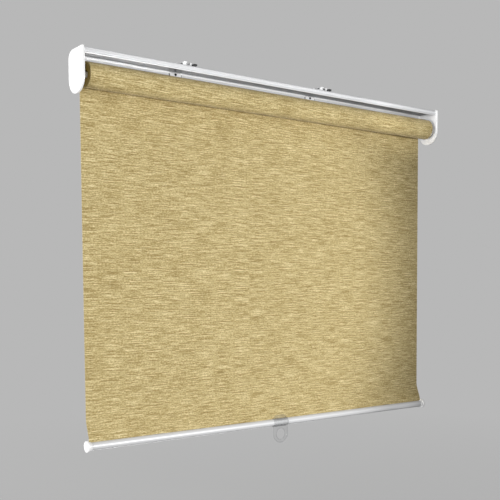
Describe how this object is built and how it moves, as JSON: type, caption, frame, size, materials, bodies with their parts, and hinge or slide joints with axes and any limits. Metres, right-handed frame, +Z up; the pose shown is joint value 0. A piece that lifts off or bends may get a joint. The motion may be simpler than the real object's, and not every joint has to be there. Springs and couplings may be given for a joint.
{
  "type": "roller blind",
  "caption": "Spring roller blind in an open aluminium head rail with white end covers, wound textile shade, round bottom bar and clear pull ring, on clip-on ceiling brackets.",
  "frame": {"origin": "midway between the two ceiling screw holes, on the upper face of the mounting brackets, at the middle of the case's depth", "axes": "+X along the roller from the idler end to the spring end, +Y towards the window wall, +Z up"},
  "size_m": [0.7268, 0.045, 0.5969],
  "materials": {
    "anodised_rail": "satin anodised extrusion with fine draw lines",
    "end_plate_steel": "light grey powder coat",
    "white_cover": "smooth white moulding",
    "screw_steel": "zinc plated",
    "white_nylon": "natural acetal",
    "zinc_bracket": "zinc plated sheet",
    "lock_plate": "white lacquer",
    "black_screw": "blackened steel",
    "shaft_steel": "bright drawn steel",
    "dark_nylon": "dark glass-filled nylon",
    "spring_steel": "oiled spring wire",
    "woven_fabric": "golden slub weave",
    "tube_aluminium": "mill finish tube",
    "tape": "double-sided tape",
    "bar_aluminium": "bright anodised tube",
    "white_cap": "smooth white moulding",
    "hem_rod": "extruded polymer rod",
    "clear_plastic": "clear moulded polycarbonate",
    "pawl_metal": "die-cast zinc",
    "black_plastic": "black acetal"
  },
  "bodies": {
    "case": {"head_rail": "anodised_rail", "end_plate_left": "end_plate_steel", "end_plate_right": "end_plate_steel", "end_cover_left": "white_cover", "end_cover_right": "white_cover", "plate_screws_left": "screw_steel", "plate_screws_right": "screw_steel", "bearing_bush": "white_nylon", "shaft_socket": "white_nylon", "bracket_left": "zinc_bracket", "bracket_right": "zinc_bracket", "lock_plate_left": "lock_plate", "lock_plate_right": "lock_plate", "lock_screws_left": "black_screw", "lock_screws_right": "black_screw", "fixed_shaft": "shaft_steel", "ratchet_wheel": "shaft_steel", "spring_anchor": "dark_nylon", "torsion_spring": "spring_steel", "shaft_support": "dark_nylon", "shaft_clip": "spring_steel", "fabric_sheet": "woven_fabric"},
    "roller": {"roller_tube": "tube_aluminium", "mounting_tape": "tape", "fabric_roll": "woven_fabric", "idler_plug": "dark_nylon", "idler_pin": "white_nylon", "motor_plug": "dark_nylon", "pawl_pins": "shaft_steel"},
    "bar": {"bottom_bar": "bar_aluminium", "bar_cap_left": "white_cap", "bar_cap_right": "white_cap", "hem_rod": "hem_rod", "fabric_hem": "woven_fabric", "pull_ring": "clear_plastic"},
    "pawl_upper": {"pawl_upper": "pawl_metal"},
    "pawl_lower": {"pawl_lower": "pawl_metal"},
    "release_left": {"release_slide_left": "black_plastic"},
    "release_right": {"release_slide_right": "black_plastic"}
  },
  "joints": [
    {"name": "bar_lift", "type": "slide", "parent": "case", "child": "bar", "axis": [0, 0, 1], "range_m": [0, 0.48066], "deforming": ["fabric_sheet"]},
    {"name": "roller_spin", "type": "hinge", "parent": "case", "child": "roller", "pos_m": [0.055, -0.003, -0.0385], "axis": [1, 0, 0], "range_deg": [0, 1531]},
    {"name": "pawl_upper_swing", "type": "hinge", "parent": "roller", "child": "pawl_upper", "pos_m": [0.3925, -0.003, -0.0281], "axis": [1, 0, 0], "range_deg": [0, 20]},
    {"name": "pawl_lower_swing", "type": "hinge", "parent": "roller", "child": "pawl_lower", "pos_m": [0.3925, -0.003, -0.0489], "axis": [1, 0, 0], "range_deg": [0, 20]},
    {"name": "release_left_push", "type": "slide", "parent": "case", "child": "release_left", "axis": [0, 1, 0], "range_m": [0, 0.003], "stiffness_N_per_m": 300},
    {"name": "release_right_push", "type": "slide", "parent": "case", "child": "release_right", "axis": [0, 1, 0], "range_m": [0, 0.003], "stiffness_N_per_m": 300}
  ],
  "couplings": [
    {"joint": "roller_spin", "follows": "bar_lift", "rad_per_m": 55.556}
  ]
}
